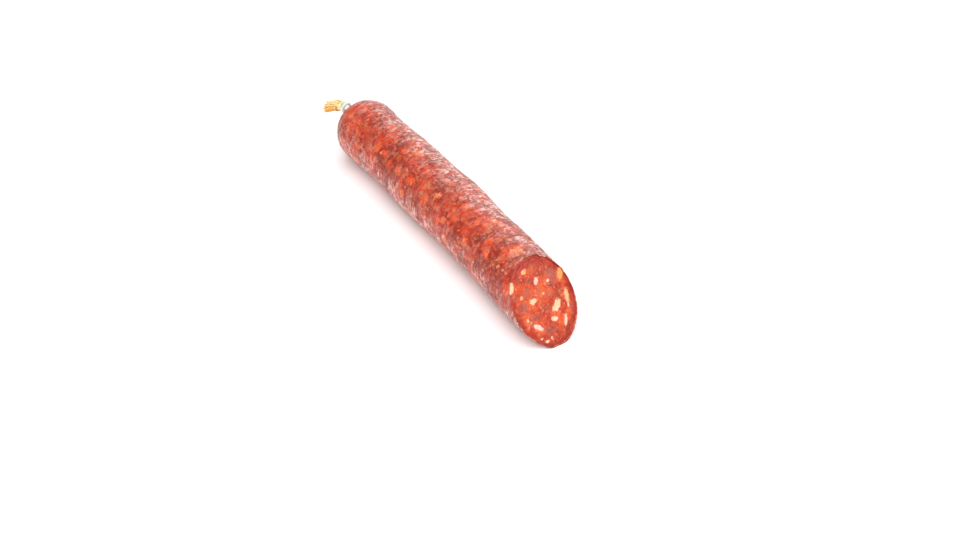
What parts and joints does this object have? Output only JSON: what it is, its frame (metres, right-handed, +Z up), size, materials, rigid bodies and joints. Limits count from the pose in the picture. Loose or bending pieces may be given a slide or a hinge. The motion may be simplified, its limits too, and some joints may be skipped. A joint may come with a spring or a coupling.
{
  "type": "cured sausage",
  "caption": "Stick of coarse-ground cured sausage in its casing, closed with a metal clip at one end and cut on the slant at the other.",
  "frame": {"origin": "middle of the object's bounding box in X and Y, at the surface that the stick lies on", "axes": "+X along the stick from the clipped end to the cut face, +Z up, so that the cut face looks towards +X and up"},
  "size_m": [0.32, 0.0536, 0.0502],
  "materials": {
    "filling": "satin",
    "casing": "satin",
    "clip": "satin"
  },
  "bodies": {
    "root": {"filling": "filling", "casing": "casing", "clip": "clip"}
  },
  "joints": []
}
